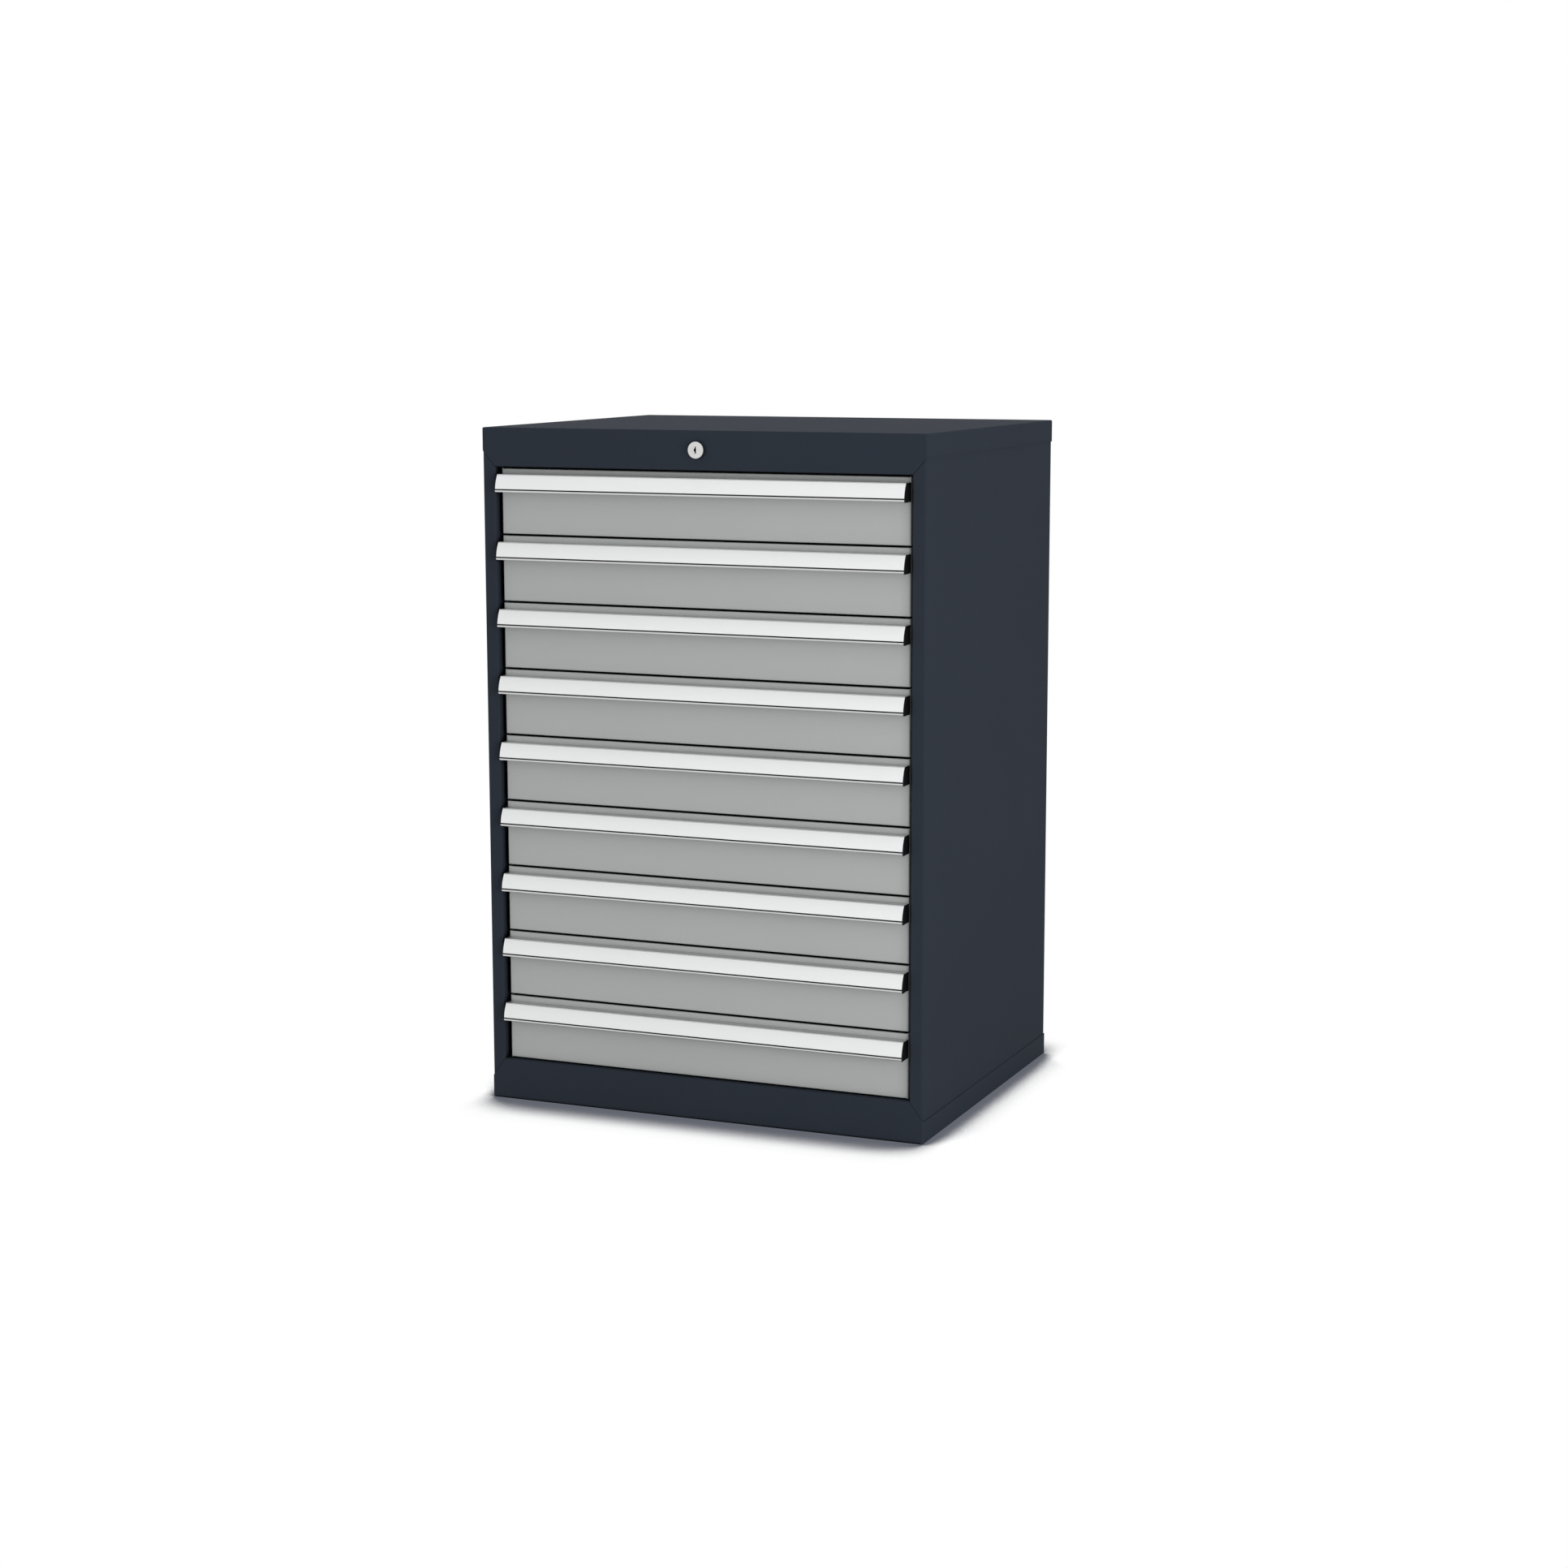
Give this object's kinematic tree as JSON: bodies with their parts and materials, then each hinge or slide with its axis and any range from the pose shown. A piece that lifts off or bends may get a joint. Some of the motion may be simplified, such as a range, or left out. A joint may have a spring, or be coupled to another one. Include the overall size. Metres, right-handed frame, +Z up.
{
  "type": "steel drawer cabinet",
  "caption": "Tall steel workshop cabinet with equal full-width drawers, grip strips with end caps, and a cylinder lock that locks all drawers through a bar at the back.",
  "frame": {"origin": "centre of the base's footprint, at floor level", "axes": "+X to the right seen from the front, +Y towards the back, +Z up"},
  "size_m": [0.7, 0.59, 1.02],
  "materials": {
    "housing_paint": "satin",
    "front_paint": "satin",
    "handle_metal": "satin",
    "cap_plastic": "matte",
    "slide_steel": "satin",
    "lock_nickel": "satin",
    "guide_plastic": "matte"
  },
  "bodies": {
    "cabinet": {"right_side_panel": "housing_paint", "left_side_panel": "housing_paint", "back_panel": "housing_paint", "top_cover": "housing_paint", "base_pan": "housing_paint", "slide_uprights": "slide_steel", "right_slide_rails": "slide_steel", "left_slide_rails": "slide_steel", "lock_housing": "lock_nickel", "lock_nut": "lock_nickel", "lock_rod_bearing": "slide_steel", "lock_bar_guides": "guide_plastic"},
    "drawer_1": {"drawer_1_tray": "front_paint", "drawer_1_front": "front_paint", "drawer_1_handle": "handle_metal", "drawer_1_end_caps": "cap_plastic"},
    "drawer_1_middle_slides": {"drawer_1_slides": "slide_steel"},
    "drawer_2": {"drawer_2_tray": "front_paint", "drawer_2_front": "front_paint", "drawer_2_handle": "handle_metal", "drawer_2_end_caps": "cap_plastic"},
    "drawer_2_middle_slides": {"drawer_2_slides": "slide_steel"},
    "drawer_3": {"drawer_3_tray": "front_paint", "drawer_3_front": "front_paint", "drawer_3_handle": "handle_metal", "drawer_3_end_caps": "cap_plastic"},
    "drawer_3_middle_slides": {"drawer_3_slides": "slide_steel"},
    "drawer_4": {"drawer_4_tray": "front_paint", "drawer_4_front": "front_paint", "drawer_4_handle": "handle_metal", "drawer_4_end_caps": "cap_plastic"},
    "drawer_4_middle_slides": {"drawer_4_slides": "slide_steel"},
    "drawer_5": {"drawer_5_tray": "front_paint", "drawer_5_front": "front_paint", "drawer_5_handle": "handle_metal", "drawer_5_end_caps": "cap_plastic"},
    "drawer_5_middle_slides": {"drawer_5_slides": "slide_steel"},
    "drawer_6": {"drawer_6_tray": "front_paint", "drawer_6_front": "front_paint", "drawer_6_handle": "handle_metal", "drawer_6_end_caps": "cap_plastic"},
    "drawer_6_middle_slides": {"drawer_6_slides": "slide_steel"},
    "drawer_7": {"drawer_7_tray": "front_paint", "drawer_7_front": "front_paint", "drawer_7_handle": "handle_metal", "drawer_7_end_caps": "cap_plastic"},
    "drawer_7_middle_slides": {"drawer_7_slides": "slide_steel"},
    "drawer_8": {"drawer_8_tray": "front_paint", "drawer_8_front": "front_paint", "drawer_8_handle": "handle_metal", "drawer_8_end_caps": "cap_plastic"},
    "drawer_8_middle_slides": {"drawer_8_slides": "slide_steel"},
    "drawer_9": {"drawer_9_tray": "front_paint", "drawer_9_front": "front_paint", "drawer_9_handle": "handle_metal", "drawer_9_end_caps": "cap_plastic"},
    "drawer_9_middle_slides": {"drawer_9_slides": "slide_steel"},
    "lock_core": {"lock_plug": "lock_nickel", "lock_rod": "slide_steel"},
    "locking_bar": {"lock_bar": "slide_steel"}
  },
  "joints": [
    {"name": "drawer_1_slide", "type": "slide", "parent": "cabinet", "child": "drawer_1", "axis": [0, -1, 0], "range_m": [0, 0.5]},
    {"name": "drawer_1_middle_slide", "type": "slide", "parent": "cabinet", "child": "drawer_1_middle_slides", "axis": [0, -1, 0], "range_m": [0, 0.25]},
    {"name": "drawer_2_slide", "type": "slide", "parent": "cabinet", "child": "drawer_2", "axis": [0, -1, 0], "range_m": [0, 0.5]},
    {"name": "drawer_2_middle_slide", "type": "slide", "parent": "cabinet", "child": "drawer_2_middle_slides", "axis": [0, -1, 0], "range_m": [0, 0.25]},
    {"name": "drawer_3_slide", "type": "slide", "parent": "cabinet", "child": "drawer_3", "axis": [0, -1, 0], "range_m": [0, 0.5]},
    {"name": "drawer_3_middle_slide", "type": "slide", "parent": "cabinet", "child": "drawer_3_middle_slides", "axis": [0, -1, 0], "range_m": [0, 0.25]},
    {"name": "drawer_4_slide", "type": "slide", "parent": "cabinet", "child": "drawer_4", "axis": [0, -1, 0], "range_m": [0, 0.5]},
    {"name": "drawer_4_middle_slide", "type": "slide", "parent": "cabinet", "child": "drawer_4_middle_slides", "axis": [0, -1, 0], "range_m": [0, 0.25]},
    {"name": "drawer_5_slide", "type": "slide", "parent": "cabinet", "child": "drawer_5", "axis": [0, -1, 0], "range_m": [0, 0.5]},
    {"name": "drawer_5_middle_slide", "type": "slide", "parent": "cabinet", "child": "drawer_5_middle_slides", "axis": [0, -1, 0], "range_m": [0, 0.25]},
    {"name": "drawer_6_slide", "type": "slide", "parent": "cabinet", "child": "drawer_6", "axis": [0, -1, 0], "range_m": [0, 0.5]},
    {"name": "drawer_6_middle_slide", "type": "slide", "parent": "cabinet", "child": "drawer_6_middle_slides", "axis": [0, -1, 0], "range_m": [0, 0.25]},
    {"name": "drawer_7_slide", "type": "slide", "parent": "cabinet", "child": "drawer_7", "axis": [0, -1, 0], "range_m": [0, 0.5]},
    {"name": "drawer_7_middle_slide", "type": "slide", "parent": "cabinet", "child": "drawer_7_middle_slides", "axis": [0, -1, 0], "range_m": [0, 0.25]},
    {"name": "drawer_8_slide", "type": "slide", "parent": "cabinet", "child": "drawer_8", "axis": [0, -1, 0], "range_m": [0, 0.5]},
    {"name": "drawer_8_middle_slide", "type": "slide", "parent": "cabinet", "child": "drawer_8_middle_slides", "axis": [0, -1, 0], "range_m": [0, 0.25]},
    {"name": "drawer_9_slide", "type": "slide", "parent": "cabinet", "child": "drawer_9", "axis": [0, -1, 0], "range_m": [0, 0.5]},
    {"name": "drawer_9_middle_slide", "type": "slide", "parent": "cabinet", "child": "drawer_9_middle_slides", "axis": [0, -1, 0], "range_m": [0, 0.25]},
    {"name": "lock_turn", "type": "hinge", "parent": "cabinet", "child": "lock_core", "pos_m": [0, -0.2875, 0.992], "axis": [0, 1, 0], "range_deg": [0, 90]},
    {"name": "locking_bar_lift", "type": "slide", "parent": "cabinet", "child": "locking_bar", "axis": [0, 0, 1], "range_m": [0, 0.016]}
  ],
  "couplings": [
    {"joint": "drawer_1_middle_slide", "follows": "drawer_1_slide", "ratio": 0.5},
    {"joint": "drawer_2_middle_slide", "follows": "drawer_2_slide", "ratio": 0.5},
    {"joint": "drawer_3_middle_slide", "follows": "drawer_3_slide", "ratio": 0.5},
    {"joint": "drawer_4_middle_slide", "follows": "drawer_4_slide", "ratio": 0.5},
    {"joint": "drawer_5_middle_slide", "follows": "drawer_5_slide", "ratio": 0.5},
    {"joint": "drawer_6_middle_slide", "follows": "drawer_6_slide", "ratio": 0.5},
    {"joint": "drawer_7_middle_slide", "follows": "drawer_7_slide", "ratio": 0.5},
    {"joint": "drawer_8_middle_slide", "follows": "drawer_8_slide", "ratio": 0.5},
    {"joint": "drawer_9_middle_slide", "follows": "drawer_9_slide", "ratio": 0.5},
    {"joint": "lock_turn", "follows": "locking_bar_lift", "rad_per_m": 98.17}
  ]
}
